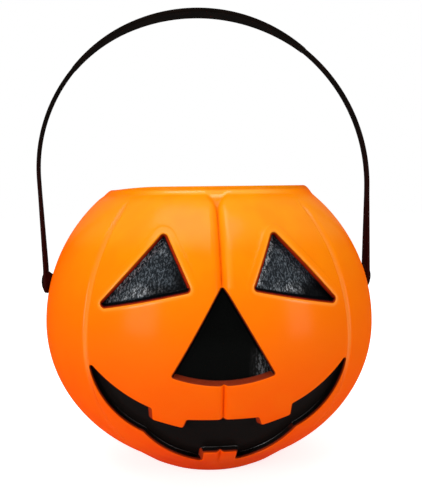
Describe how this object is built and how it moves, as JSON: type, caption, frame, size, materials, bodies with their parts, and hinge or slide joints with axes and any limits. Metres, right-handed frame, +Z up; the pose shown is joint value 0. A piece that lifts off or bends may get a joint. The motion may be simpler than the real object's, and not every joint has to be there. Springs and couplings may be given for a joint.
{
  "type": "pumpkin candy pail",
  "caption": "Round lobed jack-o'-lantern pail with a pressed, painted face, an open top for sweets, and a strap handle that swings on side rivets.",
  "frame": {"origin": "on the table, under the middle of the pail", "axes": "+X from the left rivet to the right one as seen from the front, -Y out of the face, +Z up"},
  "size_m": [0.23, 0.2208, 0.3033],
  "materials": {
    "orange_shell": "satin blow-moulded polyethylene, orange right through",
    "black_strap": "satin injection-moulded plastic, black",
    "black_rivet": "smooth moulded plastic, black",
    "black_paint": "gloss black paint, a little wrinkled and brushed in the eyes"
  },
  "bodies": {
    "pail": {"pail_body": "orange_shell", "left_rivet": "black_rivet", "right_rivet": "black_rivet", "left_eye_paint": "black_paint", "right_eye_paint": "black_paint", "nose_paint": "black_paint", "mouth_paint": "black_paint"},
    "handle": {"handle_strap": "black_strap"}
  },
  "joints": [
    {"name": "handle_swing", "type": "hinge", "parent": "pail", "child": "handle", "pos_m": [0, 0, 0.122], "axis": [1, 0, 0], "range_deg": [-125, 125]}
  ]
}
